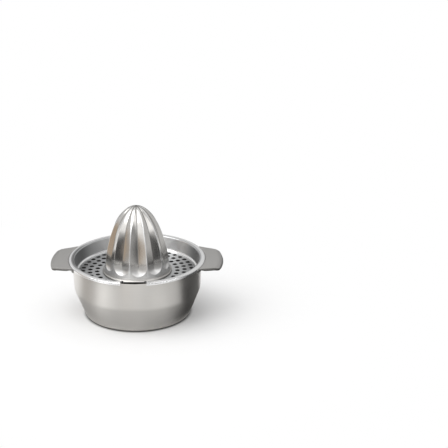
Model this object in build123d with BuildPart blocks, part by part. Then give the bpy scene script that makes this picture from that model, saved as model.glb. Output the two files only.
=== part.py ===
"""Lemon squeezer in pressed stainless sheet: a juice bowl and a lift-off strainer.

The strainer is a perforated dish with a rolled rim, a fluted reamer seated over
its neck, and two pressed handles welded to the rim.

Frame: millimetres, +Z up, origin on the table under the middle of the bowl.
The handles point along X and the pouring notch looks along -Y.
"""

import os
from math import asin, cos, degrees, radians, sin, sqrt

from build123d import *

# Sheet thicknesses
bowl_sheet = 0.8
strainer_sheet = 0.8
reamer_sheet = 0.8
handle_sheet = 1.2

# Fits between the pieces
nest_clearance = 0.3
seat_clearance = 0.3
neck_clearance = 0.15
cut_overrun = 6.0

# Juice bowl: a narrow base, a straight cone, a soft crease and an almost upright wall
bowl_height = 56.9
bowl_top_radius = 64.6
bowl_wall_lean = 1.3
bowl_crease_height = 27.8
bowl_crease_round = 14.0
bowl_cone_spread = 10.9
bowl_base_round = 3.6

# Pouring notch, shared by the bowl's edge and the strainer's rim
pour_width = 25.5
pour_dip = 1.2
pour_dip_round = 0.8
pour_recess = 5.2
pour_recess_round = 2.4
pour_wall_drop = 2.6

# Strainer dish: rolled rim, sloping wall and perforated floor
rim_overhang = 3.6
rim_lip_height = 2.4
rim_round = 1.3
wall_bend = 1.3
dish_depth = 14.0
dish_wall_lean = 2.1
dish_floor_round = 2.4
neck_height = 1.8
neck_bend = 0.8

# Drain holes: rings with six more holes at each step outwards
drain_diameter = 3.9
drain_collar_gap = 5.66
drain_edge_gap = 0.8
drain_ring_step = 7.1
drain_inner_ring_count = 31
drain_ring_count_step = 6
drain_ring_turns = (10.8, 3.0, 6.2)

# Reamer: three tangent arcs from the tip to the foot, then a narrow flange
reamer_rise = 68.5
tip_radius = 15.7
tip_sweep = 41.0
shoulder_radius = 48.7
shoulder_sweep = 27.0
flank_radius = 120.0
foot_round = 1.0
collar_flat = 0.4
collar_bend = 0.2
skirt_height = 0.3

# Flutes: V-shaped creases round the reamer that follow its outline and end in a scoop
flute_count = 11
flute_turn = 5.5
flute_valley_share = 0.9
flute_edge_share = 0.92
flute_round_share = 0.06
flute_outer_share = 1.12
flute_start = 3.6
flute_foot_height = 15.4
flute_foot_clearance = 4.6
flute_end_margin_share = 0.3
flute_arc_steps = 10
flute_end_shares = (0.25, 0.45, 0.62, 0.76, 0.88, 0.96)

# Handles: a sloping plate with a turned-down end and a weld flange along the rim
handle_length = 18.0
handle_root_half = 31.0
handle_root_inset = 7.2
handle_tip_half = 25.0
handle_tip_inset = 4.2
handle_corner = 8.0
handle_root_drop = 0.3
handle_fall = 0.9
handle_end_width = 4.6
handle_end_fall = 1.7
handle_end_round = 5.0
handle_weld_height = 4.2
handle_root_round = 1.4
handle_inner_round = 0.3

# Sizes that follow from the ones above
rim_top = bowl_height + seat_clearance + strainer_sheet
lip_bottom = rim_top - rim_lip_height
floor_top = rim_top - dish_depth
floor_bottom = floor_top - strainer_sheet
bowl_crease_radius = bowl_top_radius - bowl_wall_lean
bowl_base_radius = bowl_crease_radius - bowl_cone_spread
rim_outer_radius = bowl_top_radius + rim_overhang
wall_outer_radius = bowl_top_radius - bowl_sheet - nest_clearance
wall_inner_radius = wall_outer_radius - strainer_sheet
dish_floor_radius = wall_inner_radius - dish_wall_lean
pour_wall_reach = wall_outer_radius - pour_recess

# The centres of the reamer's three arcs, and the collar and neck round its foot
apex_height = floor_top + reamer_rise
tip_centre = (0, apex_height - tip_radius)
shoulder_centre = (
    tip_centre[0] + (tip_radius - shoulder_radius) * sin(radians(tip_sweep)),
    tip_centre[1] + (tip_radius - shoulder_radius) * cos(radians(tip_sweep)),
)
flank_tilt = tip_sweep + shoulder_sweep
flank_centre = (
    shoulder_centre[0] + (shoulder_radius - flank_radius) * sin(radians(flank_tilt)),
    shoulder_centre[1] + (shoulder_radius - flank_radius) * cos(radians(flank_tilt)),
)
collar_round = collar_bend + reamer_sheet
collar_width = foot_round + collar_flat + collar_round
foot_height = skirt_height + collar_round
foot_top = floor_top + foot_height
foot_radius = flank_centre[0] + sqrt(flank_radius**2 - (foot_top - flank_centre[1]) ** 2)
collar_radius = foot_radius + collar_width
neck_outer_radius = foot_radius - reamer_sheet - neck_clearance
neck_inner_radius = neck_outer_radius - strainer_sheet

# As many rings of drain holes as the floor has room for, inside the notch's wall
drain_inner_ring_radius = collar_radius + drain_collar_gap
drain_outer_limit = pour_wall_reach - strainer_sheet - drain_edge_gap - drain_diameter / 2
drain_rings = 1 + int((drain_outer_limit - drain_inner_ring_radius) / drain_ring_step)

# Reach of the handles from the middle
handle_reach = rim_outer_radius + handle_length
handle_root_reach = rim_outer_radius - handle_root_inset
handle_tip_reach = handle_reach - handle_tip_inset


def round_corners(sketch, corners):
    """Fillet each named corner of a sketch: pairs of a point and a radius."""
    for point, radius in corners:
        nearest = sketch.vertices().sort_by_distance((*point, 0))[0]
        fillet(nearest, radius=radius)


def section(points, corners):
    """Draw a closed half section on the XZ plane and round its corners."""
    with BuildSketch(Plane.XZ) as outline:
        with BuildLine():
            Polyline(*points, close=True)
        make_face()
        round_corners(outline, corners)
    return outline.sketch


# Juice bowl


def bowl_section(inset, top):
    """Half section of the bowl's outer face, or of its inside when it is drawn in."""
    base = (bowl_base_radius - inset, inset)
    crease = (bowl_crease_radius - inset, bowl_crease_height)
    edge = (bowl_top_radius - inset, top)
    corners = [(base, bowl_base_round - inset), (crease, bowl_crease_round - inset)]
    return section([(0, inset), base, crease, edge, (0, top)], corners)


with BuildPart() as juice_bowl:
    revolve(bowl_section(0, bowl_height), axis=Axis.Z)
    revolve(bowl_section(bowl_sheet, bowl_height), axis=Axis.Z, mode=Mode.SUBTRACT)

    # The edge dips at the front, under the strainer's notch
    with BuildSketch(Plane.XZ) as dip:
        with Locations((0, bowl_height)):
            RectangleRounded(pour_width, pour_dip * 2, pour_dip_round)
    extrude(amount=bowl_top_radius + cut_overrun, mode=Mode.SUBTRACT)


# Strainer dish

dish_points = [
    (neck_inner_radius, floor_top + neck_height),
    (neck_inner_radius, floor_bottom),
    (dish_floor_radius + strainer_sheet, floor_bottom),
    (wall_outer_radius, rim_top - strainer_sheet),
    (rim_outer_radius - strainer_sheet, rim_top - strainer_sheet),
    (rim_outer_radius - strainer_sheet, lip_bottom),
    (rim_outer_radius, lip_bottom),
    (rim_outer_radius, rim_top),
    (wall_inner_radius, rim_top),
    (dish_floor_radius, floor_top),
    (neck_outer_radius, floor_top),
    (neck_outer_radius, floor_top + neck_height),
]
dish_corners = [
    ((neck_inner_radius, floor_bottom), neck_bend),
    ((dish_floor_radius + strainer_sheet, floor_bottom), dish_floor_round + strainer_sheet),
    ((rim_outer_radius - strainer_sheet, rim_top - strainer_sheet), rim_round - strainer_sheet),
    ((rim_outer_radius, rim_top), rim_round),
    ((wall_inner_radius, rim_top), wall_bend),
    ((dish_floor_radius, floor_top), dish_floor_round),
]


def pour_outline(margin):
    """Plan of the notch in the rim, grown by margin, open past the rim."""
    depth = rim_outer_radius + cut_overrun - pour_wall_reach
    with BuildSketch(Plane.XY.offset(floor_bottom)) as outline:
        with Locations((0, -pour_wall_reach - depth / 2)):
            RectangleRounded(
                pour_width + margin * 2, depth + margin * 2, pour_recess_round + margin
            )
    return outline.sketch


# The pressed wall behind the notch, before it is opened to the front
dish_block = section(
    [
        (0, floor_bottom),
        (dish_floor_radius + strainer_sheet, floor_bottom),
        (wall_outer_radius, rim_top),
        (0, rim_top),
    ],
    [((dish_floor_radius + strainer_sheet, floor_bottom), dish_floor_round + strainer_sheet)],
)
with BuildPart() as pour_wall:
    extrude(pour_outline(strainer_sheet), amount=dish_depth + strainer_sheet - rim_round)
    revolve(dish_block, axis=Axis.Z, mode=Mode.INTERSECT)

with BuildPart() as strainer_dish:
    revolve(section(dish_points, dish_corners), axis=Axis.Z)
    add(pour_wall.part)

    # Open the notch through the rim and down past the floor
    extrude(pour_outline(0), amount=dish_depth + cut_overrun, both=True, mode=Mode.SUBTRACT)

    # Lower the top edge of the wall behind the notch
    with BuildSketch(Plane.XY.offset(rim_top - pour_wall_drop)):
        with Locations((0, -pour_wall_reach)):
            Rectangle(pour_width - pour_recess_round * 2, strainer_sheet * 4)
    extrude(amount=pour_wall_drop + cut_overrun, mode=Mode.SUBTRACT)

    # Drain holes
    with BuildSketch(Plane.XY.offset(floor_bottom - cut_overrun)):
        for ring in range(drain_rings):
            ring_radius = drain_inner_ring_radius + ring * drain_ring_step
            ring_count = drain_inner_ring_count + ring * drain_ring_count_step
            ring_turn = drain_ring_turns[ring % len(drain_ring_turns)]
            with PolarLocations(ring_radius, ring_count, start_angle=ring_turn):
                Circle(drain_diameter / 2)
    extrude(amount=strainer_sheet + cut_overrun * 2, mode=Mode.SUBTRACT)


# Reamer cone


def flank_tilt_at(height, inset):
    """Tilt of the flank's normal from upright, in degrees, at a height."""
    return 90 - degrees(asin((height - flank_centre[1]) / (flank_radius - inset)))


tip_length = tip_radius * radians(tip_sweep)
shoulder_length = shoulder_radius * radians(shoulder_sweep)


def reamer_point(length):
    """Radius and height on the reamer's outline at a length along it from the tip."""
    if length < tip_length:
        centre, radius = tip_centre, tip_radius
        tilt = length / tip_radius
    elif length < tip_length + shoulder_length:
        centre, radius = shoulder_centre, shoulder_radius
        tilt = radians(tip_sweep) + (length - tip_length) / shoulder_radius
    else:
        centre, radius = flank_centre, flank_radius
        tilt = radians(flank_tilt) + (length - tip_length - shoulder_length) / flank_radius
    return centre[0] + radius * sin(tilt), centre[1] + radius * cos(tilt)


def reamer_section(inset):
    """Half section of the reamer, drawn in by inset: outer face at 0, inside at the sheet."""
    collar = collar_radius - inset
    ring_top = foot_top - inset
    flank_sweep = flank_tilt_at(ring_top, inset) - flank_tilt
    with BuildSketch(Plane.XZ) as outline:
        with BuildLine():
            tip = JernArc((0, apex_height - inset), (1, 0), tip_radius - inset, -tip_sweep)
            shoulder = JernArc(tip @ 1, tip % 1, shoulder_radius - inset, -shoulder_sweep)
            flank = JernArc(shoulder @ 1, shoulder % 1, flank_radius - inset, -flank_sweep)
            foot = flank @ 1
            Polyline(
                foot,
                (collar, ring_top),
                (collar, floor_top),
                (0, floor_top),
                (0, apex_height - inset),
            )
        make_face()
        round_corners(
            outline,
            [
                ((foot.X, ring_top), foot_round + inset),
                ((collar, ring_top), collar_round - inset),
            ],
        )
    return outline.sketch


flute_edge = radians(180 / flute_count * flute_edge_share)
flute_slope = sin(flute_edge) / (cos(flute_edge) - flute_valley_share)


def flute_sections():
    """Sections of one flute as (outline radius, valley, height), from the tip to the scoop."""
    flank_part = radians(flank_tilt_at(floor_top + flute_foot_height, 0) - flank_tilt)
    foot_length = tip_length + shoulder_length + flank_radius * flank_part
    sections = []
    for step in range(flute_arc_steps + 1):
        length = flute_start + (foot_length - flute_start) * step / flute_arc_steps
        radius, height = reamer_point(length)
        sections.append((radius, radius * flute_valley_share, height))
    radius, valley, height = sections[-1]
    depth = (radius - valley) * (1 + flute_end_margin_share)
    end_length = flute_foot_height - foot_height - flute_foot_clearance
    for share in flute_end_shares:
        scoop = valley + depth * (1 - sqrt(1 - share**2))
        sections.append((radius, scoop, height - share * end_length))
    return sections


def flute_cutter(grow):
    """One flute as a lofted solid, drawn in by grow, that reaches out past the reamer."""
    with BuildPart() as cutter:
        for radius, valley, height in flute_sections():
            crease = valley - grow
            outer = radius * flute_outer_share
            half = (outer - crease) * flute_slope
            with BuildSketch(Plane.XY.offset(height)) as outline:
                with BuildLine():
                    Polyline((crease, 0), (outer, half), (outer, -half), close=True)
                make_face()
                round_corners(outline, [((crease, 0), radius * flute_round_share)])
        loft()
    return cutter.part


outer_flute = flute_cutter(0)
inner_flute = flute_cutter(reamer_sheet)
flute_start_angle = -90 + flute_turn

# The hollow inside follows the flutes, as pressed sheet does
with BuildPart() as reamer_hollow:
    revolve(reamer_section(reamer_sheet), axis=Axis.Z)
    with PolarLocations(0, flute_count, start_angle=flute_start_angle):
        add(inner_flute, mode=Mode.SUBTRACT)

with BuildPart() as reamer_cone:
    revolve(reamer_section(0), axis=Axis.Z)
    with PolarLocations(0, flute_count, start_angle=flute_start_angle):
        add(outer_flute, mode=Mode.SUBTRACT)
    add(reamer_hollow.part, mode=Mode.SUBTRACT)


# Handles

root_top = rim_top - handle_root_drop
bend_reach = handle_reach - handle_end_width
bend_top = root_top - handle_fall
tip_top = bend_top - handle_end_fall
handle_points = [
    (rim_outer_radius, root_top),
    (bend_reach, bend_top),
    (handle_reach, tip_top),
    (handle_reach, tip_top - handle_sheet),
    (bend_reach, bend_top - handle_sheet),
    (rim_outer_radius + handle_sheet, root_top - handle_sheet),
    (rim_outer_radius + handle_sheet, root_top - handle_weld_height),
    (rim_outer_radius, root_top - handle_weld_height),
]
handle_corners = [
    ((rim_outer_radius, root_top), handle_root_round),
    ((bend_reach, bend_top), handle_end_round),
    ((bend_reach, bend_top - handle_sheet), handle_end_round - handle_sheet),
    ((rim_outer_radius + handle_sheet, root_top - handle_sheet), handle_inner_round),
]
side_slope = (handle_root_half - handle_tip_half) / (handle_tip_reach - handle_root_reach)
outline_reach = handle_reach + cut_overrun
outline_half = handle_root_half - side_slope * (outline_reach - handle_root_reach)
outline_root_half = handle_root_half + side_slope * cut_overrun


def handle(turn):
    """One handle: the sheet's section swept round the rim, trimmed to its plan."""
    with BuildPart() as tab:
        revolve(section(handle_points, handle_corners), axis=Axis.Z)
        with BuildSketch(Plane.XY.rotated((0, 0, turn))) as plan:
            with BuildLine():
                Polyline(
                    (handle_root_reach - cut_overrun, -outline_root_half),
                    (outline_reach, -outline_half),
                    (outline_reach, outline_half),
                    (handle_root_reach - cut_overrun, outline_root_half),
                    close=True,
                )
            make_face()
            Circle(handle_reach, mode=Mode.INTERSECT)
            fillet(plan.vertices().group_by(Axis.X)[-1], radius=handle_corner)
        extrude(amount=rim_top + cut_overrun, mode=Mode.INTERSECT)
    return tab


right_handle = handle(0)
left_handle = handle(180)


# Write one file per piece
os.makedirs("parts", exist_ok=True)
pieces = {
    "juice_bowl": juice_bowl,
    "strainer_dish": strainer_dish,
    "reamer_cone": reamer_cone,
    "left_handle": left_handle,
    "right_handle": right_handle,
}
for name, piece in pieces.items():
    piece.part.label = name
    export_step(piece.part, f"parts/{name}.step")
    box = piece.part.bounding_box()
    print(name, "solids", len(piece.part.solids()), "size", box.size, "volume", piece.part.volume)
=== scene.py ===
# %% [markdown]
# # A lemon squeezer in pressed steel
#
# The real object is a juice bowl that stands on the table and a strainer that lifts off
# it: a perforated dish with a fluted reamer and two flat handles, all pressed from thin
# stainless sheet. The packed model gives every size and the joint. This lesson keeps
# that frame still and dresses it: smooth pressings where the light shows every facet,
# brushed steel on each piece, and a white table with soft studio light.

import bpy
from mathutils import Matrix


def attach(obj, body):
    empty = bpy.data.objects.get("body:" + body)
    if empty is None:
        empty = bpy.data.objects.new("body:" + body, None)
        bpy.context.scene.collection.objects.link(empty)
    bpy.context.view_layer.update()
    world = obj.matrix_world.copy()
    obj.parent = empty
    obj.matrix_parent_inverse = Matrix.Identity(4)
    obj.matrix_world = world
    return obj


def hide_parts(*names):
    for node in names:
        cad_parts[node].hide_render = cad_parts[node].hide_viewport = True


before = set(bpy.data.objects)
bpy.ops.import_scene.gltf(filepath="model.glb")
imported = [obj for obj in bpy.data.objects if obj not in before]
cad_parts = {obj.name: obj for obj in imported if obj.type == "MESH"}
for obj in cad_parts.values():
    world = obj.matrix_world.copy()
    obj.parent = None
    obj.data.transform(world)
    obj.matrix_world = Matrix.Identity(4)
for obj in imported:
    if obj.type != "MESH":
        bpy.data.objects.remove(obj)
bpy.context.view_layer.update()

# %% [markdown]
# ## Camera
#
# The ellipse of the rim gives the viewing angle, and the size of the bowl's base against
# the rim gives the distance. A long lens from about a metre and a half fits both, looking
# down by a little over twenty degrees. The squeezer stands left of the middle. A shift of
# the lens could put it there, but other views would keep that shift, so the camera itself
# stands to the right and looks straight along +Y.

# %% Place the camera
from math import asin, atan2, cos, degrees, hypot, pi, radians, sin, sqrt, tan

import bpy

picture_width = 448
focal_pixels = 1500
view_tilt = 69.2
view_place = (0.08695, -1.3905, 0.6216)

scene = bpy.context.scene
lens = bpy.data.cameras.new("camera")
lens.sensor_width = 36
lens.lens = lens.sensor_width * focal_pixels / picture_width
camera = bpy.data.objects.new("camera", lens)
camera.location = view_place
camera.rotation_euler = (radians(view_tilt), 0, 0)
scene.collection.objects.link(camera)
scene.camera = camera
scene.view_settings.view_transform = "Standard"
print("lens", round(lens.lens, 1), "mm")

# %% [markdown]
# ## Wires
#
# A finish is a sum of small effects: a grain, smudges, a few scratches. In Blender a sum
# is a web of Math nodes. It could be drawn by hand in the shader editor, but a long web
# is hard to read and to repeat. `Wire` holds one socket, and its operators add the Math
# nodes, so a sum reads as plain Python.

# %% Make wires that add up


def plug(socket, value):
    """Set a socket to a plain value, or link a wire to it."""
    if isinstance(value, Wire):
        socket.id_data.links.new(value.socket, socket)
    else:
        socket.default_value = value


class Wire:
    """An output socket that takes part in sums."""

    def __init__(self, socket):
        self.socket = socket

    def also(self, output):
        """Another output of the same node."""
        return Wire(self.socket.node.outputs[output])

    def maths(self, operation, *values):
        """The output of a new Math node."""
        node = self.socket.id_data.nodes.new("ShaderNodeMath")
        node.operation = operation
        for socket, value in zip(node.inputs, values):
            plug(socket, value)
        return Wire(node.outputs[0])

    def __add__(self, other):
        return self.maths("ADD", self, other)

    def __radd__(self, other):
        return self.maths("ADD", other, self)

    def __sub__(self, other):
        return self.maths("SUBTRACT", self, other)

    def __rsub__(self, other):
        return self.maths("SUBTRACT", other, self)

    def __mul__(self, other):
        return self.maths("MULTIPLY", self, other)

    def __rmul__(self, other):
        return self.maths("MULTIPLY", other, self)

    def __truediv__(self, other):
        return self.maths("DIVIDE", self, other)

    def __rtruediv__(self, other):
        return self.maths("DIVIDE", other, self)

    def __pow__(self, other):
        return self.maths("POWER", self, other)

    def clamp(self):
        """The value held between 0 and 1."""
        return self.maths("MINIMUM", self.maths("MAXIMUM", self, 0), 1)

    def size(self):
        """The value without its sign."""
        return self.maths("ABSOLUTE", self)

    def floor(self):
        """The whole number at or below the value."""
        return self.maths("FLOOR", self)

    def ramp(self, low, high):
        """A soft step from 0 at low to 1 at high."""
        part = ((self - low) / (high - low)).clamp()
        return part * part * (3 - 2 * part)


print("reflected operators", [name for name in vars(Wire) if name.startswith("__r")])

# %% [markdown]
# ## Finishes
#
# `Finish` holds the nodes of one material, or of the world. Its method `node` adds any
# node there is: settings first, then what its sockets take. The methods below it are the
# few nodes that come back all the time: a mix of two colours, noise, and a vector.

# %% Make finishes that hold nodes


class Finish:
    """A node tree whose nodes are added one by one."""

    def __init__(self, tree):
        self.tree = tree
        tree.nodes.clear()

    def node(self, kind, settings=None, sockets=None, output=0):
        """One output of a new node of any kind."""
        node = self.tree.nodes.new(kind)
        for key, value in (settings or {}).items():
            if key == "stops":
                self.fill_ramp(node.color_ramp, value)
            else:
                setattr(node, key, value)
        for key, value in (sockets or {}).items():
            plug(node.inputs[key], value)
        return Wire(node.outputs[output]) if node.outputs else None

    def fill_ramp(self, ramp, stops):
        """Give a colour ramp its stops: pairs of a place from 0 to 1 and a colour."""
        while len(ramp.elements) < len(stops):
            ramp.elements.new(0.5)
        for element, (place, colour) in zip(ramp.elements, stops):
            element.position = place
            element.color = colour

    def blend(self, share, first, second):
        """Mix two colours."""
        settings = {"data_type": "RGBA"}
        return self.node("ShaderNodeMix", settings, {0: share, 6: first, 7: second}, 2)

    def noise(self, vector, scale, detail):
        """Noise of about 0 to 1, with one hump in 1 / scale metres."""
        sockets = {"Vector": vector, "Scale": scale, "Detail": detail}
        return self.node("ShaderNodeTexNoise", None, sockets)

    def vector(self, x, y, z):
        """Three values as one vector or colour."""
        return self.node("ShaderNodeCombineXYZ", None, {"X": x, "Y": y, "Z": z})


def new_finish(name):
    """A new material and the finish that holds its nodes."""
    material = bpy.data.materials.new(name)
    material.use_nodes = True
    return material, Finish(material.node_tree)


def shade(red, green, blue):
    """A colour with full cover, as sockets and ramps take it."""
    return (red, green, blue, 1)


print("finish methods", [name for name in vars(Finish) if not name.startswith("_")])

# %% [markdown]
# ## Where a point lies
#
# Wear, dirt and polish depend on the place: the inside of the bowl, the top of the rim,
# the crease of a flute. They could be painted by hand on an unwrapped mesh, but then each
# change of shape would need new paint. Here every mask is a sum of a point's own
# coordinates, in metres, and of the way the surface faces there.

# %% Find a point and the way it faces
off_axis = 0.0001


class Spot:
    """Where a point lies, its reach from the axis, and how far it faces up, front and out."""

    def __init__(self, finish):
        self.place = finish.node("ShaderNodeTexCoord", None, None, "Object")
        self.x = finish.node("ShaderNodeSeparateXYZ", None, {"Vector": self.place})
        self.y = self.x.also("Y")
        self.z = self.x.also("Z")
        self.reach = (self.x * self.x + self.y * self.y) ** 0.5 + off_axis
        facing = finish.node("ShaderNodeNewGeometry", None, None, "Normal")
        facing = finish.node("ShaderNodeSeparateXYZ", None, {"Vector": facing})
        self.up = facing.also("Z")
        self.front = 0 - facing.also("Y")
        self.out = (facing * self.x + facing.also("Y") * self.y) / self.reach


def band(value, low, high, soft):
    """1 between two values, with soft ends."""
    return value.ramp(low - soft, low) * (1 - value.ramp(high, high + soft))


print("reach starts at", off_axis, "m, so that nothing is divided by zero")

# %% [markdown]
# ## Grain
#
# Pressed kitchen steel is satin: a belt or a wheel leaves fine lines, and these spread
# a reflection across the lines. A picture of steel would show one light for ever, so the
# lines are noise, stretched a long way along the grain and packed close across it. On the
# bowl and the dish the wheel ran round the axis, on the reamer the belt ran up and down,
# and the handles were ground flat before they were bent.

# %% Lay the grain
fine_lines = 2200
sheet_lines = 900
rising_lines = 70
slow_lines = 60
round_stretch = 2.4
reach_share = 0.7


def grain_track(finish, spot, grain):
    """Coordinates for the noise, slow along the grain and quick across it."""
    if grain == "round":
        across = spot.z + spot.reach * reach_share
        along_x = spot.x / spot.reach * round_stretch
        along_y = spot.y / spot.reach * round_stretch
        return finish.vector(along_x, along_y, across * fine_lines)
    if grain == "rising":
        across_x = spot.x / spot.reach * rising_lines
        across_y = spot.y / spot.reach * rising_lines
        return finish.vector(across_x, across_y, spot.z * slow_lines)
    return finish.vector(spot.x * fine_lines, spot.y * slow_lines, spot.z * sheet_lines)


def stray_scratches(finish, spot):
    """A few scratches that cross the grain."""
    skew_x = spot.x * 180 + spot.y * 900
    skew_y = spot.y * 140 - spot.x * 160
    return finish.noise(finish.vector(skew_x, skew_y, spot.z * 700), 1, 1).ramp(0.7, 0.78)


print("about", fine_lines, "lines in a metre across the grain")

# %% [markdown]
# ## Satin steel
#
# One recipe serves all the pieces. The grain stirs the roughness and the bump, slower
# noise gives the smudges of handling, and stray scratches come last. A piece passes
# masks: one where shade is painted in, which turns the colour nearly black, and, where it
# needs them, one for places that a buffing mop has made smoother and whose colour is
# lifted almost to white, a painted highlight, and one for places that the belt hardly
# reaches. A material for each place would end in hard lines, and a mask fades. On round
# pieces the lines lie in rings, and the shader's anisotropy draws each highlight out across
# them.

# %% Brush a satin steel
smudge_scale = 38
cloud_scale = 14
highlight_tone = shade(0.95, 0.95, 0.95)
highlight_cover = 0.95
polished_rough = 0.26
dull_rough = 0.22
shade_tone = shade(0.035, 0.033, 0.03)
shade_rough = 0.3
line_height = 0.0001
ring_gloss = 0.85
quarter_turn = 0.25


def steel(name, tones, rough, grain, spread, lines, painted_shade, polish_highlight=None, dull=None):
    """A satin steel. The grain runs round the axis, up it or along the sheet."""
    material, finish = new_finish(name)
    spot = Spot(finish)
    brushing = finish.noise(grain_track(finish, spot, grain), 1, 3)
    smudges = finish.noise(spot.place, smudge_scale, 3)
    clouds = finish.noise(spot.place, cloud_scale, 1)
    stray = stray_scratches(finish, spot)
    colour = finish.blend((brushing * 0.5 + clouds * 0.5).clamp(), *tones)
    height = brushing - stray * 0.4
    uneven = (brushing - 0.5) * spread + (smudges - 0.5) * 0.1 + stray * 0.05
    roughness = rough + uneven
    if polish_highlight:
        bright = polish_highlight(spot)
        # Painted highlight: here the colour is lifted almost to white. The lower roughness and
        # the fainter bump are the polish.
        colour = finish.blend(bright * highlight_cover, colour, highlight_tone)
        roughness = rough + uneven * (1 - bright) - bright * (rough - polished_rough)
        height = height * (1 - bright)
    if dull:
        roughness = roughness + dull(spot) * dull_rough
    # Painted shade: where this mask lies, the colour goes nearly black and rougher.
    shaded = painted_shade(spot)
    colour = finish.blend(shaded, colour, shade_tone)
    roughness = roughness + shaded * shade_rough
    relief = {"Strength": lines, "Distance": line_height, "Height": height}
    shader = finish.node(
        "ShaderNodeBsdfPrincipled",
        None,
        {
            "Base Color": colour,
            "Metallic": 1.0,
            "Roughness": roughness.clamp(),
            "Normal": finish.node("ShaderNodeBump", None, relief),
            "Anisotropic": ring_gloss if grain == "round" else 0.0,
            "Anisotropic Rotation": quarter_turn,
        },
    )
    finish.node("ShaderNodeOutputMaterial", None, {"Surface": shader})
    return material


print("satin recipe, polished to a roughness of", polished_rough)

# %% [markdown]
# ## Bowl steel
#
# The bowl was brushed outside, in rings. Inside, under the strainer, its colour is painted
# darker: painted shade. Two materials could share the faces out, but the packed bowl is a
# single mesh that stays as it is. So one steel does both sides, and its mask asks which
# way the surface faces.

# %% Mix the bowl's steel
bowl_edge = 0.0636
inside_shade = 0.4


def bowl_shade(spot):
    """Painted shade on the inside: the wall, and the base low down."""
    # Painted shade on the inside of the bowl.
    wall = 1 - spot.out.ramp(-0.3, 0.1)
    wall = wall * (1 - spot.reach.ramp(bowl_edge, bowl_edge + 0.0003))
    base = spot.up.ramp(0.3, 0.7) * (1 - spot.z.ramp(0.02, 0.03))
    return (wall + base).clamp() * inside_shade


bowl_steel = steel(
    "bowl_steel",
    tones=(shade(0.66, 0.64, 0.608), shade(0.76, 0.74, 0.708)),
    rough=0.38,
    grain="round",
    spread=0.14,
    lines=0.25,
    painted_shade=bowl_shade,
)
print(bowl_steel.name, "nodes", len(bowl_steel.node_tree.nodes))

# %% [markdown]
# ## Raw places on the strainer
# The drain holes are punched. Their walls are painted dark, and a ring of painted shade
# lies on the floor round each one, so that the holes read black. A drawn-in edge could be
# modelled at every hole, but here only its shade is painted. The wall at the sides and the
# left inner half of the rim are painted darker, and a strip of the wall behind the notch is
# painted dark, so that the slot reads as a black gap. The mask wraps the circle into one cell
# for each hole, three times over.

# %% Mark the painted shade on the strainer
floor_height = 0.044
floor_under = 0.0431
wall_reach = 0.0636
notch_half = 0.0124
notch_face = -0.0582
drain_reach = 0.0021
shade_ring_reach = 0.0027
drain_rings = ((0.0403, 31, 10.8), (0.0474, 37, 3.0), (0.0545, 43, 6.2))


def on_floor(spot):
    """The top of the dish's floor, by height."""
    return band(spot.z, floor_height - 0.0002, floor_height + 0.0002, 0.0002)


def faces_in(spot):
    """1 where the wall looks at the axis."""
    return 1 - spot.out.ramp(-0.7, -0.3)


def hole_shade_rings(spot):
    """A ring of painted shade round each hole: rings of a radius, a count and a first bearing.
    """
    turns = spot.x.maths("ARCTAN2", spot.y, spot.x) / (2 * pi)
    edges = 0
    for radius, count, start in drain_rings:
        part = (turns - start / 360) * count + 0.5
        part = part - part.floor() - 0.5
        along = part * (2 * pi * radius / count)
        outwards = spot.reach - radius
        away = (along * along + outwards * outwards) ** 0.5
        edges = edges + (1 - away.ramp(drain_reach, shade_ring_reach))
    return edges.clamp() * spot.up.ramp(0.7, 0.9) * on_floor(spot)


def strainer_shade(spot):
    """Painted shade behind the notch, in the holes and round them, on the wall at the sides and
    on the rim's left inner half.
    """
    aside = spot.x.size()
    # A strip of the wall behind the notch is painted dark: painted shade, so that the slot reads
    # as a deep black gap.
    slot = 1 - aside.ramp(notch_half, notch_half + 0.0006)
    slot = slot * (1 - spot.y.ramp(notch_face, notch_face + 0.0003))
    slot_ends = aside.ramp(0.011, 0.0114) * spot.z.ramp(0.0546, 0.055)
    slot = slot * band(spot.z, 0.0531, 0.0571, 0.0004) * (1 - slot_ends)
    # The holes' walls are painted dark: painted shade, so that the holes read black.
    holes = 1 - spot.up.size().ramp(0.3, 0.7)
    holes = holes * band(spot.z, floor_under, floor_height - 0.0002, 0.0002)
    holes = holes * band(spot.reach, 0.037, 0.0572, 0.0005)
    # The wall at the sides and the rim's left inner half are painted darker: painted shade.
    wall = faces_in(spot) * band(spot.z, 0.046, 0.0565, 0.001)
    wall = wall * (1 - spot.reach.ramp(wall_reach, wall_reach + 0.0008))
    wall = wall * band(spot.y, -0.03, 0.022, 0.03)
    rim = band(spot.reach, wall_reach, wall_reach + 0.0019, 0.0006)
    rim = rim * (1 - spot.x.ramp(-0.062, -0.05))
    shaded = slot + holes * 0.95 + hole_shade_rings(spot) * 0.85 + wall * 0.65 + rim * 0.6
    return shaded.clamp()


print("holes", sum(count for _, count, _ in drain_rings))

# %% [markdown]
# ## Strainer steel
#
# A mop has been held to the rolled rim, which is the bright line of the whole object, and
# it also caught the floor's front, its rounded corner and the wall at front and back. There
# the steel is smoother, and its colour is lifted almost to white: a painted highlight. The
# rest is brushed in rings, a little darker than the bowl. A bright rim could be a piece of
# its own with its own steel, but on the real dish the polish fades into the wall.

# %% Mix the strainer's steel


def strainer_polish_highlight(spot):
    """Polish and painted highlight: the rolled rim, the floor's front and its rounded corner,
    and the wall at front and back.
    """
    rim = spot.reach.ramp(0.064, 0.0649)
    corner = band(spot.reach, 0.0575, 0.0605, 0.0006) * band(spot.z, 0.0438, 0.0465, 0.0006)
    base = spot.up.ramp(0.7, 0.95) * on_floor(spot)
    base = base * (0.9 - spot.y.ramp(-0.045, -0.025) * 0.9)
    wall = spot.y.size().ramp(0.02, 0.05) * faces_in(spot) * 0.75
    return (rim + corner + base + wall).clamp()


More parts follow.
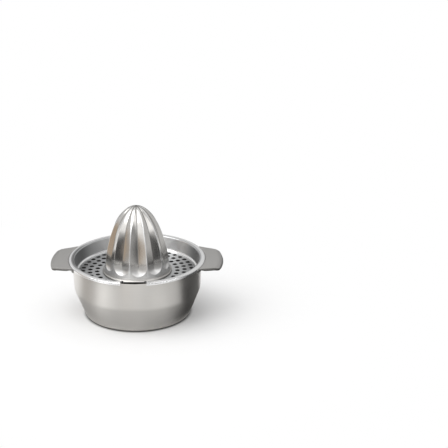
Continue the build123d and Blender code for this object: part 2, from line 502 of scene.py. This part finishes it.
strainer_steel = steel(
    "strainer_steel",
    tones=(shade(0.5, 0.505, 0.51), shade(0.6, 0.605, 0.61)),
    rough=0.36,
    grain="round",
    spread=0.14,
    lines=0.2,
    painted_shade=strainer_shade,
    polish_highlight=strainer_polish_highlight,
)
print(strainer_steel.name, "nodes", len(strainer_steel.node_tree.nodes))

# %% [markdown]
# ## Reamer steel
#
# The reamer is the brightest piece. A belt has run up and down it, so the ridges, which
# stand against the belt, are polished, and the ends of the flutes are a little duller. On
# the ridges and the foot the colour is also lifted towards white, a painted highlight.
# Painted shade draws a thin dark line in each crease, and darkens the seam where the foot
# stands on the floor, the flange and its edge, less at the front.
# Ridges and creases could be picked out by Pointiness, but that depends on how fine the
# mesh is. Here the bearing is wrapped into eleven equal parts, one for each flute.

# %% Mix the reamer's steel
flutes = 11
flute_turn = 5.5
flute_foot = 0.049
flange_start = 0.0336
flange_edge = 0.0342


def from_crease(spot):
    """Distance round the reamer from the nearest crease, in metres."""
    turns = spot.x.maths("ARCTAN2", spot.x, 0 - spot.y) / (2 * pi) - flute_turn / 360
    part = turns * flutes + 0.5
    part = part - part.floor()
    return (part - 0.5).size() * spot.reach * (2 * pi / flutes)


def reamer_shade(spot):
    """Painted shade: the seam under the skirt, the flange and its edge, paler at the front, and
    a thin line in each crease.
    """
    # Painted shade: a thin dark line in each crease.
    crease = 1 - from_crease(spot).ramp(0.00015, 0.0006)
    crease = crease * spot.z.ramp(flute_foot + 0.007, flute_foot + 0.011)
    crease = crease * (0.5 + spot.z.ramp(0.09, 0.105) * 0.3)
    # Painted shade on the flange, its edge and the seam on the floor, paler at the front.
    flange = spot.reach.ramp(flange_start - 0.001, flange_start) * 0.08
    edge = spot.reach.ramp(flange_edge - 0.0004, flange_edge) * 0.45
    seam = (1 - spot.z.ramp(floor_height + 0.0001, floor_height + 0.0005)) * 0.8
    paler_front = 0.3 + spot.y.ramp(-0.032, -0.02) * 0.7
    return (crease + (flange + edge + seam) * paler_front).clamp()


def reamer_polish_highlight(spot):
    """Polish and painted highlight: the ridges, which stand against the belt, and the foot,
    which a mop reaches.
    """
    half_flute = spot.reach * (pi / flutes)
    ridge = 1 - (half_flute - from_crease(spot)).ramp(0.0003, 0.0009)
    ridge = ridge * spot.z.ramp(flute_foot, flute_foot + 0.004)
    ridge = ridge * spot.reach.ramp(0.003, 0.006)
    foot = 1 - spot.z.ramp(flute_foot, flute_foot + 0.016)
    foot = foot * (1 - spot.reach.ramp(flange_start - 0.0012, flange_start))
    return (ridge + foot * 0.75).clamp()


def reamer_dull(spot):
    """The flange and the flutes' ends, which the polishing belt hardly reaches."""
    flange = 1 - spot.z.ramp(0.0465, 0.0485)
    flute_ends = band(spot.z, flute_foot + 0.001, flute_foot + 0.005, 0.012)
    return flange * 0.3 + flute_ends * 0.6


reamer_steel = steel(
    "reamer_steel",
    tones=(shade(0.64, 0.625, 0.6), shade(0.74, 0.725, 0.7)),
    rough=0.2,
    grain="rising",
    spread=0.06,
    lines=0.1,
    painted_shade=reamer_shade,
    polish_highlight=reamer_polish_highlight,
    dull=reamer_dull,
)
print(reamer_steel.name, "nodes", len(reamer_steel.node_tree.nodes))

# %% [markdown]
# ## Handle steel
#
# The handles are the plainest pieces: flat satin sheet, darker than the rest. One even
# grey would do from afar, but it would look painted, so they take the same recipe with
# the grain along the sheet. Their front edge is turned down, and the faces that look to
# the front are painted darker, a painted shade that draws a thin dark line under each plate.

# %% Mix the handles' steel


def handle_shade(spot):
    """Painted shade on the faces that look to the front, which is the turned-down front edge."""
    # Painted shade on the faces that look to the front.
    return spot.front.ramp(0.15, 0.6) * 0.6


handle_steel = steel(
    "handle_steel",
    tones=(shade(0.455, 0.445, 0.43), shade(0.54, 0.53, 0.515)),
    rough=0.34,
    grain="along",
    spread=0.14,
    lines=0.2,
    painted_shade=handle_shade,
)
print(handle_steel.name, "nodes", len(handle_steel.node_tree.nodes))

# %% [markdown]
# ## Bowl and dish
#
# The packed bowl and dish have the right shape already, down to the last drain hole.
# Drawing them again could only lose that, so they stay and only take their steel.

# %% Dress the bowl and the dish


def dress(node, material):
    """Give a packed node one material."""
    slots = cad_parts[node].data.materials
    slots.clear()
    slots.append(material)


dress("juice_bowl", bowl_steel)
dress("strainer_dish", strainer_steel)
print("dressed", "juice_bowl", "strainer_dish")

# %% [markdown]
# ## Meshes from rings
#
# A pressing is a stack of rings. A subdivision surface over a coarse cage is another way,
# but it rounds sharp ridges as much as flat sides. With rings, the points lie exactly where
# the sums put them. `skin` joins each ring to the next with quads, closes on a point
# where a ring has only one, adds any faces that it is given, and shades it all smooth.

# %% Skin a stack of rings


def skin(name, rings, closed=True, lids=()):
    """A mesh through rings of points, each ring with the same count or a single point."""
    points = []
    starts = []
    for ring in rings:
        starts.append(len(points))
        points.extend(ring)
    faces = []
    for one, two, start, follow in zip(rings, rings[1:], starts, starts[1:]):
        count = max(len(one), len(two))
        for i in range(count if closed else count - 1):
            j = (i + 1) % count
            if len(one) == 1:
                faces.append((start, follow + i, follow + j))
            elif len(two) == 1:
                faces.append((start + i, follow, start + j))
            else:
                faces.append((start + i, follow + i, follow + j, start + j))
    faces.extend(lids)
    mesh = bpy.data.meshes.new(name)
    mesh.from_pydata(points, [], faces)
    mesh.polygons.foreach_set("use_smooth", [True] * len(faces))
    mesh.validate()
    piece = bpy.data.objects.new(name, mesh)
    scene.collection.objects.link(piece)
    return piece


def arc(centre, radius, start, end, steps):
    """Points on an arc in a half section, angles in degrees from +r towards +z."""
    points = []
    for i in range(steps + 1):
        angle = radians(start + (end - start) * i / steps)
        points.append((centre[0] + radius * cos(angle), centre[1] + radius * sin(angle)))
    return points


print("a quarter arc in 2 steps", arc((0, 0), 1, 0, 90, 2))

# %% [markdown]
# ## Outline of the reamer
#
# The reamer is one deep pressing. Its outline is three arcs that run into each other: a
# small one over the tip, a wider shoulder, and a long flank that is nearly upright at the
# foot. There it swings out into a narrow flange, as sheet does when it leaves the die.
# A free curve could be drawn over a picture, but arcs keep the sizes of the frame. Sizes
# are in millimetres from here on, and `mm` turns them into Blender's metres.

# %% Draw the reamer's outline
mm = 0.001
floor_top = 44.0
apex = 112.5
tip_round = 15.7
tip_turn = 41.0
shoulder_round = 48.7
shoulder_turn = 27.0
flank_round = 120.0
foot_top = 45.3
flare_width = 1.9
flare_height = 8.0

tip_centre = (0, apex - tip_round)
shoulder_centre = (
    (tip_round - shoulder_round) * sin(radians(tip_turn)),
    tip_centre[1] + (tip_round - shoulder_round) * cos(radians(tip_turn)),
)
flank_turn = tip_turn + shoulder_turn
flank_centre = (
    shoulder_centre[0] + (shoulder_round - flank_round) * sin(radians(flank_turn)),
    shoulder_centre[1] + (shoulder_round - flank_round) * cos(radians(flank_turn)),
)


def share_of(value, low, high):
    """How far a value has come from low (0) to high (1), and no further."""
    return min(1, max(0, (value - low) / (high - low)))


def flank_reach(height):
    """Radius of the outline on the flank."""
    return flank_centre[0] + sqrt(flank_round**2 - (height - flank_centre[1]) ** 2)


def flare(height):
    """How far the foot swings out beyond the flank: a quarter of a tall ellipse."""
    past = share_of(height, foot_top + flare_height, foot_top)
    return flare_width * (1 - sqrt(1 - past**2))


def reamer_outline(inset, steps):
    """Radius and height down the reamer from just under the tip to the foot."""
    lowest = 90 - degrees(asin((foot_top - flank_centre[1]) / flank_round))
    turns = [(tip_centre, tip_round, 0, tip_turn, steps // 4)]
    turns.append((shoulder_centre, shoulder_round, tip_turn, flank_turn, steps // 3))
    turns.append((flank_centre, flank_round, flank_turn, lowest, steps // 2))
    points = []
    for centre, radius, start, end, count in turns:
        points += arc(centre, radius - inset, 90 - start, 90 - end, count)[1:]
    return points


print("foot", round(flank_reach(foot_top), 2), "mm from the axis")

# %% [markdown]
# ## Flutes
#
# Eleven grooves leave sharp ridges between them. Each is a fold: two nearly flat sides
# meet in a crease that runs straight down the flank, and a round scoop ends it at the
# foot. A solid model cuts them with hard edges. Sheet can't bend so sharply, so here the
# crease is rounded a little, the sides swell slightly, and one form passes softly into
# the next. A kink there would show as a line in every reflection.

# %% Shape the flutes
valley_top = 0.915
crease_height = 74.0
crease_depth = 2.9
crease_lean = 13.6
crease_blend = 0.4
crease_round = 0.025
side_swell = 0.006
scoop_top = 57.0
scoop_blend = 6
groove_narrows = 59.0
groove_end = 49.9
tip_narrows = 88.0
tip_narrowing = 0.55
half_pitch = pi / flutes
full_width = half_pitch * 0.985


def groove_width(height):
    """Half the angle across a groove: narrow by the tip, and half an ellipse at its end."""
    past = share_of(height, groove_narrows, groove_end)
    rise = share_of(height, tip_narrows, apex)
    return full_width * sqrt(1 - past**2) * (1 - tip_narrowing * rise**1.5)


def groove_depth(reach, height):
    """Depth of the crease, which runs straight down the flank and ends in a scoop."""
    lean = tan(radians(crease_lean)) * (height - crease_height)
    straight = flank_reach(height) - flank_reach(crease_height) + crease_depth + lean
    shallow = reach * (1 - valley_top)
    depth = (straight + shallow + hypot(straight - shallow, crease_blend)) / 2
    past = share_of(height, scoop_top, groove_end)
    return depth * (1 - past**2)


def groove_section(share, height):
    """Part of the depth from the crease (0) to the edge (1): a fold, then a round end."""
    near = sqrt(share**2 + crease_round**2) - crease_round
    turn = half_pitch * (near * (1 - share) + share * share)
    slope = (cos(half_pitch) - valley_top) / sin(half_pitch)
    fold = (1 - valley_top / (cos(turn) - slope * sin(turn))) / (1 - valley_top)
    fold -= side_swell / (1 - valley_top) * 4 * share * (1 - share)
    part = share_of(height, groove_end, scoop_top + scoop_blend)
    part = 1 - part * part * (3 - 2 * part)
    return fold + (1 - share**2 - fold) * part


middle_depth = groove_depth(flank_reach(crease_height), crease_height)
print("flutes", flutes, "depth half way down", round(middle_depth, 2), "mm")

# %% [markdown]
# ## Rings of the reamer
#
# An even ring of points would cut the ridges off, because a ridge falls between two points
# more often than on one. So the points crowd towards the creases and the ridges, where
# the surface turns most, and they follow each groove as it narrows.

# %% Lay the rings
groove_columns = 14
land_columns = 4
narrowest = 0.35
fade_start = 0.8
fade_end = 3.0


def columns_at(height):
    """Angles round a ring, each with its distance from the crease of its groove."""
    width = max(groove_width(height), full_width * narrowest)
    half = []
    for i in range(groove_columns):
        half.append(width * (1 - cos(pi * i / groove_columns)) / 2)
    for i in range(land_columns):
        half.append(width + (half_pitch - width) * i / land_columns)
    swings = [-half_pitch] + [-swing for swing in half[:0:-1]] + half
    angles = []
    for flute in range(flutes):
        middle = radians(-90 + flute_turn) + 2 * half_pitch * flute
        angles.extend((middle + swing, abs(swing)) for swing in swings)
    return angles


def ring_at(reach, height, inset):
    """One ring of the reamer. The grooves fade in below the tip."""
    width = groove_width(height)
    depth = groove_depth(reach + inset, height) * share_of(reach, fade_start, fade_end)
    points = []
    for angle, swing in columns_at(height):
        radius = reach
        if swing < width:
            radius -= depth * groove_section(swing / width, height)
        points.append((radius * cos(angle) * mm, radius * sin(angle) * mm, height * mm))
    return points


def plain_ring(reach, height):
    """One round ring below the flutes."""
    angles = columns_at(groove_end)
    return [(reach * cos(a) * mm, reach * sin(a) * mm, height * mm) for a, _ in angles]


print("points in a ring", len(columns_at(groove_end)))

# %% [markdown]
# ## Reamer
#
# The stack starts at the tip, runs down the flutes, out along the foot and over the rounded
# edge of the flange, and comes back up inside at the sheet's thickness. One closed skin
# has no gap between its sides. It takes the packed reamer's place on the strainer.

# %% Draw the reamer
reamer_sheet = 0.8
flange_reach = 34.64
flange_round = 0.45
outside_steps = 180
inside_steps = 60
foot_steps = 12
edge_steps = 6

rings = [[(0, 0, apex * mm)]]
for reach, height in reamer_outline(0, outside_steps):
    if height > groove_end:
        rings.append(ring_at(reach + flare(height), height, 0))
lower = []
for i in range(foot_steps + 1):
    height = foot_top + (groove_end - foot_top) * (1 - sin(pi / 2 * i / foot_steps))
    lower.append((flank_reach(height) + flare(height), height))
edge_middle = (flange_reach - flange_round, foot_top - flange_round)
lower += arc(edge_middle, flange_round, 90, 0, edge_steps)
lower += [(flange_reach, floor_top), (flange_reach - reamer_sheet, floor_top)]
lower.append((flange_reach - reamer_sheet, foot_top - reamer_sheet))
lower.append((flank_reach(foot_top) + flare_width, foot_top - reamer_sheet))
for reach, height in lower:
    rings.append(plain_ring(reach, height))
for reach, height in reversed(reamer_outline(reamer_sheet, inside_steps)):
    if height > foot_top:
        rings.append(ring_at(reach + flare(height + reamer_sheet), height, reamer_sheet))
rings.append([(0, 0, (apex - reamer_sheet) * mm)])

reamer = skin("fluted_reamer", rings)
reamer.data.materials.append(reamer_steel)
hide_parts("reamer_cone")
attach(reamer, "strainer")
print("reamer faces", len(reamer.data.polygons))

# %% [markdown]
# ## Plan of a handle
#
# Seen from above, a handle is a plate with sloping sides, rounded corners and an end that
# follows a circle round the axis. Its rows will be circles round the axis too, so the
# question for each row is how far it reaches to the side before it meets the plan. That
# has no short formula, and halving the range of a guess many times is exact enough.

# %% Lay out a handle's plan
rim_reach = 68.2
handle_reach = 86.2
root_half = 31.0
root_reach = 61.0
tip_half = 25.0
tip_reach = 82.0
corner_radius = 8.0
corner_halvings = 60
widest_swing = 40
swing_halvings = 50

side_slope = (root_half - tip_half) / (tip_reach - root_reach)
side_length = hypot(1, side_slope)


def side_gap(x, y):
    """Distance from a point in plan to the sloping side, positive inside."""
    return (root_half - side_slope * (x - root_reach) - y) / side_length


def corner_middle():
    """Centre of the rounded corner: one radius inside the side and the end."""
    low = 0.0
    high = tip_half
    away = handle_reach - corner_radius
    for _ in range(corner_halvings):
        y = (low + high) / 2
        x = sqrt(away**2 - y**2)
        if side_gap(x, y) > corner_radius:
            low = y
        else:
            high = y
    return x, y


corner_x, corner_y = corner_middle()


def side_swing(reach):
    """Half the angle that the handle spans at a distance from the middle."""
    low = 0.0
    high = radians(widest_swing)
    for _ in range(swing_halvings):
        swing = (low + high) / 2
        x = reach * cos(swing)
        y = reach * sin(swing)
        past_corner = x > corner_x and y > corner_y
        past_corner = past_corner or (x - corner_x) > side_slope * (y - corner_y) > 0
        outside = side_gap(x, y) < 0
        if past_corner and hypot(x - corner_x, y - corner_y) > corner_radius:
            outside = True
        if outside:
            high = swing
        else:
            low = swing
    return low


print("handle spans", round(2 * degrees(side_swing(rim_reach)), 1), "degrees at the rim")

# %% [markdown]
# ## Section of a handle
#
# From the rim, a handle rises from its weld flange through a small bend, falls gently, and
# dips at the end. Its free edges are turned down, so that they don't cut the hand. A bevel
# on a flat plate would round the edge but not turn it, so every row asks two things:
# how high the plate is at its reach, and how far it has turned down near an edge.

# %% Lay out a handle's section
rim_top = 58.0
root_drop = 0.3
plate_fall = 0.9
end_width = 4.6
end_fall = 1.7
bend_half = 1.0
weld_height = 4.2
root_round = 1.4
edge_roll = 1.5

root_top = rim_top - root_drop
bend_reach = handle_reach - end_width


def plate_top(reach):
    """Height of the handle's top face, with a soft bend before the end."""
    slope = plate_fall / (bend_reach - rim_reach)
    drop = slope * (reach - rim_reach)
    past = reach - bend_reach + bend_half
    if past > 0:
        steep = end_fall / end_width - slope
        drop += steep * (past**2 / (4 * bend_half) if past < 2 * bend_half else past - bend_half)
    return root_top - drop


def turned_down(gap):
    """How far the sheet has turned down at a distance from its free edge."""
    if gap >= edge_roll:
        return 0
    return edge_roll - sqrt(max(0, edge_roll**2 - (edge_roll - max(0, gap)) ** 2))


print("plate", root_top, "mm at the rim,", round(plate_top(handle_reach), 2), "mm at the end")

# %% [markdown]
# ## Rows of a handle
#
# An even grid would need many more points to make the edges round. So the rows crowd
# towards the weld's bend and the end, and the columns towards the sides, where the sheet
# turns. The same rows serve the top and the underside, which lies one sheet lower and
# a little further in.

# %% Lay a handle's rows
columns = 44
bend_rows = 5
plate_rows = 26
weld_step = 1.0
full_roll_lead = 6

spans = [-cos(pi * i / columns) for i in range(columns + 1)]
row_reaches = []
for i in range(1, bend_rows + 1):
    row_reaches.append(rim_reach + root_round * (1 - cos(pi / 2 * i / bend_rows)))
for i in range(1, plate_rows + 1):
    share = sin(pi / 2 * i / plate_rows)
    row_reaches.append(rim_reach + root_round + (handle_reach - rim_reach - root_round) * share)


def handle_rows(inset, thickness):
    """Rows of points on one face of the handle, from the weld to the tip."""
    rows = []
    weld_foot = root_top - weld_height
    sides = side_swing(rim_reach) - inset / rim_reach
    for height in (weld_foot, weld_foot + weld_step, root_top - root_round):
        rows.append([(rim_reach + inset, sides * span, height) for span in spans])
    for reach in row_reaches:
        outer = min(reach, handle_reach - inset)
        outer = max(outer, rim_reach + inset)
        sides = max(0.0, side_swing(outer + inset * (outer > bend_reach)) - inset / outer)
        lead = outer - rim_reach
        bend = 0
        if lead < root_round:
            bend = root_round - sqrt(max(0, root_round**2 - (root_round - lead) ** 2))
        row = []
        for span in spans:
            swing = sides * span
            gap = min((sides - abs(swing)) * outer, handle_reach - inset - outer)
            turn = turned_down(gap) * min(1, lead / full_roll_lead)
            row.append((outer, swing, plate_top(outer) - bend - turn - thickness))
        rows.append(row)
    return rows


print("rows", len(handle_rows(0, 0)), "columns", len(spans))

# %% [markdown]
# ## Handles
#
# Each handle is welded along the rim on its side. A row of the top and the same row of the
# underside make one closed ring, so `skin` can run along the handle as along a tube, and
# two lids close the weld and the tip. The left handle is the right one turned by half
# a turn. Both ride on the strainer.

# %% Draw the handles
handle_sheet = 1.2
under_inset = handle_sheet * 0.6


def end_lids(count, rows):
    """Faces that close the first and the last ring, each between its two halves."""
    lids = []
    for start in (0, (rows - 1) * count):
        for i in range(count // 2 - 1):
            far = start + count - 1 - i
            lids.append((start + i, start + i + 1, far - 1, far))
    return lids


def draw_handle(name, side):
    """One handle, on the right for a side of 1 and on the left for -1."""
    top_rows = handle_rows(0, 0)
    lower_rows = handle_rows(under_inset, handle_sheet)
    tube = []
    for upper, lower in zip(top_rows, lower_rows):
        ring = []
        for reach, swing, height in upper + lower[::-1]:
            x = reach * cos(swing) * side
            y = reach * sin(swing) * side
            ring.append((x * mm, y * mm, height * mm))
        tube.append(ring)
    piece = skin(name, tube, lids=end_lids(len(tube[0]), len(tube)))
    piece.data.materials.append(handle_steel)
    return piece


for name, node, side in (("left_grip", "left_handle", -1), ("right_grip", "right_handle", 1)):
    grip = draw_handle(name, side)
    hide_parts(node)
    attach(grip, "strainer")
    print(name, "faces", len(grip.data.polygons))

# %% [markdown]
# ## Table
#
# The squeezer stands on seamless white. The table is a wide white sheet that takes the
# shadow. More light would make it white too, but it would also bleach the steel. So the
# camera and the steel see it partly as plain white, through Light Path, and more so the
# further it lies from the squeezer. The shadow keeps its depth beside the bowl, and a dark
# ring under the base's rounded corner stands for the light that can't get in there.

# %% Lay the table
table_half = 6
paper_white = 0.95
paper_grain = 0.02
paper_scale = 60
base_reach = 0.0508
contact_reach = 0.0562
contact_tone = 0.1


def seen_plainly(finish):
    """1 for what the camera, a mirror or glass sees, and 0 for light on its way."""
    seen = finish.node("ShaderNodeLightPath", None, None, "Is Camera Ray")
    return (seen + seen.also("Is Glossy Ray") + seen.also("Is Transmission Ray")).clamp()


front_edge = [(-table_half, -table_half, 0), (table_half, -table_half, 0)]
back_edge = [(-table_half, table_half, 0), (table_half, table_half, 0)]
table = skin("table", [front_edge, back_edge], closed=False)
table_white, finish = new_finish("table_white")
spot = Spot(finish)
contact = spot.reach.ramp(base_reach, contact_reach) * (1 - contact_tone) + contact_tone
paper = (finish.noise(spot.place, paper_scale, 3) * paper_grain + paper_white) * contact
matt = {"Color": finish.vector(paper, paper, paper)}
matt = finish.node("ShaderNodeBsdfDiffuse", None, matt)
glow = finish.node("ShaderNodeEmission", None, {"Color": shade(1, 1, 1), "Strength": 1.0})
plain = spot.reach.ramp(0.05, 0.12) * 0.4 + spot.reach.ramp(0.1, 0.3) * 0.6
shares = {0: seen_plainly(finish) * plain, 1: matt, 2: glow}
surface = finish.node("ShaderNodeMixShader", None, shares)
finish.node("ShaderNodeOutputMaterial", None, {"Surface": surface})
table.data.materials.append(table_white)
print("table", 2 * table_half, "m wide")

# %% [markdown]
# ## Backdrop
#
# A wall behind the table would show a line where the two meet, so the world itself is the
# backdrop, plain white. It lights the object a little less strongly than it looks, again
# through Light Path, so that pale steel doesn't clip.

# %% Hang the backdrop
world_light = 0.8

world = bpy.data.worlds.new("studio")
scene.world = world
world.use_nodes = True
finish = Finish(world.node_tree)
strength = world_light + seen_plainly(finish) * (1 - world_light)
sky = finish.node(
    "ShaderNodeBackground", None, {"Color": shade(1, 1, 1), "Strength": strength}
)
finish.node("ShaderNodeOutputWorld", None, {"Surface": sky})
print("world lights at", world_light)

# %% [markdown]
# ## Lamp
#
# One very large soft lamp hangs up on the left, so the shadow is faint and falls to the
# right. A sun or a spot would draw a hard edge that a white studio doesn't have.

# %% Hang the lamp
lamp_width = 2.0
lamp_power = 20
lamp_place = (-1.1, -0.5, 1.7)
lamp_target = (0, 0, 0.05)


def soft_lamp(name, width, power, place, target):
    """A square lamp that faces a point."""
    data = bpy.data.lights.new(name, "AREA")
    data.shape = "RECTANGLE"
    data.size = width
    data.size_y = width
    data.energy = power
    lamp = bpy.data.objects.new(name, data)
    lamp.location = place
    away = [p - t for p, t in zip(place, target)]
    flat = hypot(away[0], away[1])
    lamp.rotation_euler = (atan2(flat, away[2]), 0, atan2(away[0], -away[1]))
    scene.collection.objects.link(lamp)
    return lamp


key = soft_lamp("key", lamp_width, lamp_power, lamp_place, lamp_target)
print("lamp", key.name, "of", lamp_power, "W")

# %% [markdown]
# ## What the steel reflects
#
# Bare steel shows the room more than itself. A real studio is light and dark in turns:
# soft panels above at the left and the right of the lens, a dim and slightly brown room
# at the height of the table's edge, and patches of light on the table. A picture of a room
# could hang in the world, but here a few plain pieces of cloth do the same. Their tones
# follow the bearing from the lens, + to the right, through colour ramps. A ramp's colours
# are best kept to 1, so they hold a share of `tone_scale`, and the cloth glows by as much.
# Only reflections see these pieces, so they neither light the table nor shade it.

# %% Make cloth that only steel sees
tone_scale = 2.0


def unseen(piece, material):
    """Dress a stage piece and leave it to reflections alone."""
    piece.data.materials.append(material)
    piece.visible_camera = False
    piece.visible_diffuse = False
    piece.visible_transmission = False
    piece.visible_shadow = False


def by_bearing(finish, spot, tones):
    """A colour that follows the bearing, from pairs of degrees and a grey or a colour."""
    bearing = spot.x.maths("ARCTAN2", spot.x, 0 - spot.y) / (2 * pi) + 0.5
    stops = []
    for degrees_right, tone in tones:
        colour = tone if isinstance(tone, tuple) else (tone, tone, tone)
        colour = shade(*[part / tone_scale for part in colour])
        stops.append(((degrees_right + 180) / 360, colour))
    return finish.node("ShaderNodeValToRGB", {"stops": stops}, {0: bearing})


def ring_piece(name, rows, steps=96):
    """A band round the axis through pairs of a radius and a height, in metres."""
    bands = []
    for reach, height in rows:
        angles = [2 * pi * i / steps for i in range(steps)]
        bands.append([(reach * cos(a), reach * sin(a), height) for a in angles])
    return skin(name, bands)


def light_up(finish, colour, strength):
    """Show a colour as light of its own."""
    glow = finish.node("ShaderNodeEmission", None, {"Color": colour, "Strength": strength})
    finish.node("ShaderNodeOutputMaterial", None, {"Surface": glow})


print("tones reach up to", tone_scale)

# %% [markdown]
# ## Curtains
#
# The upright steel of the bowl and the flutes looks straight out at the room, so most of
# their stripes come from this ring. Lamps and flags could be set up one by one, as in
# a studio, but one ring is easier to tune. Its lower half is the dim room with two dark
# gaps and a few lamps, its upper half holds the soft panels, and the two fade together.

# %% Hang the curtains
cloth_reach = 1.7
cloth_top = 2.2
room_height = 0.3
panel_height = 0.76

low_tones = [
    (-180, 0.36),
    (-140, 0.5),
    (-127, 1.2),
    (-116, 0.42),
    (-105, (0.48, 0.38, 0.29)),
    (-84, (0.5, 0.4, 0.3)),
    (-70, 0.4),
    (-66, 1.0),
    (-58, 0.05),
    (-40, 0.01),
    (-28, 0.05),
    (-18, (0.56, 0.47, 0.38)),
    (-4, 0.75),
    (4, 1.3),
    (12, 0.6),
    (26, 0.4),
    (35, 0.14),
    (47, 0.02),
    (60, 0.08),
    (69, 0.9),
    (77, 0.25),
    (91, 0.28),
    (112, 0.5),
    (180, 0.36),
]
high_tones = [
    (-180, 0.7),
    (-120, 0.75),
    (-84, 0.64),
    (-62, 1.05),
    (-40, 1.15),
    (-14, 1.2),
    (9, 1.1),
    (20, 0.3),
    (34, 0.28),
    (41, 1.15),
    (50, 1.5),
    (74, 0.95),
    (89, 0.25),
    (98, 0.3),
    (114, 0.75),
    (180, 0.7),
]

curtains = ring_piece("curtains", [(cloth_reach, 0.0), (cloth_reach, cloth_top)])
curtain_cloth, finish = new_finish("curtain_cloth")
spot = Spot(finish)
low = by_bearing(finish, spot, low_tones)
high = by_bearing(finish, spot, high_tones)
light_up(finish, finish.blend(spot.z.ramp(room_height, panel_height), low, high), tone_scale)
unseen(curtains, curtain_cloth)
print("curtain tones", len(low_tones), "low and", len(high_tones), "high")

# %% [markdown]
# ## Carpet
#
# The cone of the bowl and the undersides look down, so they show the table: dark close to
# the bowl, where its own shade lies, then patches of light, and far off the foot of the
# curtains. Painted on the table, the patches would be seen by the camera too, so they lie
# on a flat ring just above it.

# %% Lay the carpet
carpet_inside = 0.056
carpet_reach = 1.69
carpet_height = 0.0003

table_tones = [
    (-180, 1.2),
    (-128, 1.25),
    (-101, 1.08),
    (-84, 0.56),
    (-66, 0.66),
    (-48, 1.5),
    (-24, 0.92),
    (4, 0.8),
    (26, 1.1),
    (40, 1.05),
    (62, 0.7),
    (78, 0.15),
    (112, 0.3),
    (136, 1.1),
    (180, 1.2),
]
near_tones = [
    (-180, 0.8),
    (-128, 0.7),
    (-90, 0.3),
    (-50, 0.46),
    (4, 0.5),
    (38, 0.32),
    (56, 0.09),
    (75, 0.03),
    (125, 0.06),
    (145, 0.5),
    (180, 0.8),
]

carpet_rows = [(carpet_inside, carpet_height), (carpet_reach, carpet_height)]
carpet = ring_piece("carpet", carpet_rows)
carpet_pile, finish = new_finish("carpet_pile")
spot = Spot(finish)
lit = by_bearing(finish, spot, table_tones)
far = by_bearing(finish, spot, low_tones)
near = by_bearing(finish, spot, near_tones)
lit = finish.blend(spot.reach.ramp(0.06, 0.125), near, lit)
light_up(finish, finish.blend(spot.reach.ramp(0.22, 0.5), lit, far), tone_scale)
unseen(carpet, carpet_pile)
print("carpet tones", len(table_tones), "and", len(near_tones), "near the bowl")

# %% [markdown]
# ## Ceiling
#
# The flat faces, which are the dish's floor and the handles, look up. They show a plain
# ceiling that is lighter towards the lens. The world could give that light, but it stays
# white for the table's sake. The ceiling's edge takes the tones of the curtains below it,
# so no seam shows in the steel.

# %% Stretch the ceiling
ceiling_back = 0.35
ceiling_front = 0.75

ceiling = ring_piece("ceiling", [(cloth_reach, cloth_top), (0.9, 2.7), (0.05, 2.8)])
ceiling_cloth, finish = new_finish("ceiling_cloth")
spot = Spot(finish)
ahead = 1 - spot.y.ramp(-0.2, 0.9)
tone = ceiling_back + ahead * (ceiling_front - ceiling_back)
middle = finish.vector(tone, tone, tone)
edge = by_bearing(finish, spot, high_tones)
light_up(finish, finish.blend(spot.reach.ramp(0.5, 1.3), middle, edge), tone_scale)
unseen(ceiling, ceiling_cloth)
print("ceiling from", ceiling_back, "to", ceiling_front)

# %% [markdown]
# ## Dark board
#
# A studio puts a dark board close beside a shiny thing, so that its side doesn't melt into
# the white. This one stands on the right and gives the bowl its dark flank. It is paler
# above, where the handle and the rim would see it, and it ends before the bowl's back,
# so that a bright line is left along the outline.

# %% Stand the board
board_x = 0.092
board_front = -0.045
board_back = 0.036
board_top = 0.2
board_dark = 0.05

foot_line = [(board_x, board_front, 0), (board_x, board_back, 0)]
top_line = [(board_x, board_front, board_top), (board_x, board_back, board_top)]
board = skin("dark_board", [foot_line, top_line], closed=False)
board_grey, finish = new_finish("board_grey")
spot = Spot(finish)
# The board is not lit: like the cloth, it glows at a tone of its own, a painted shade that is
# darker low down and at the front and paler above and behind.
tone = board_dark + spot.y.ramp(-0.03, 0.005) * 0.07 + spot.z.ramp(0.047, 0.075) * 0.5
light_up(finish, finish.vector(tone, tone, tone), 1.0)
unseen(board, board_grey)
print("board", round(board_back - board_front, 3), "m long")

# %% [markdown]
# ## Size
#
# The dressed model has to stay as large as the packed one, because other parts are fitted
# to it.
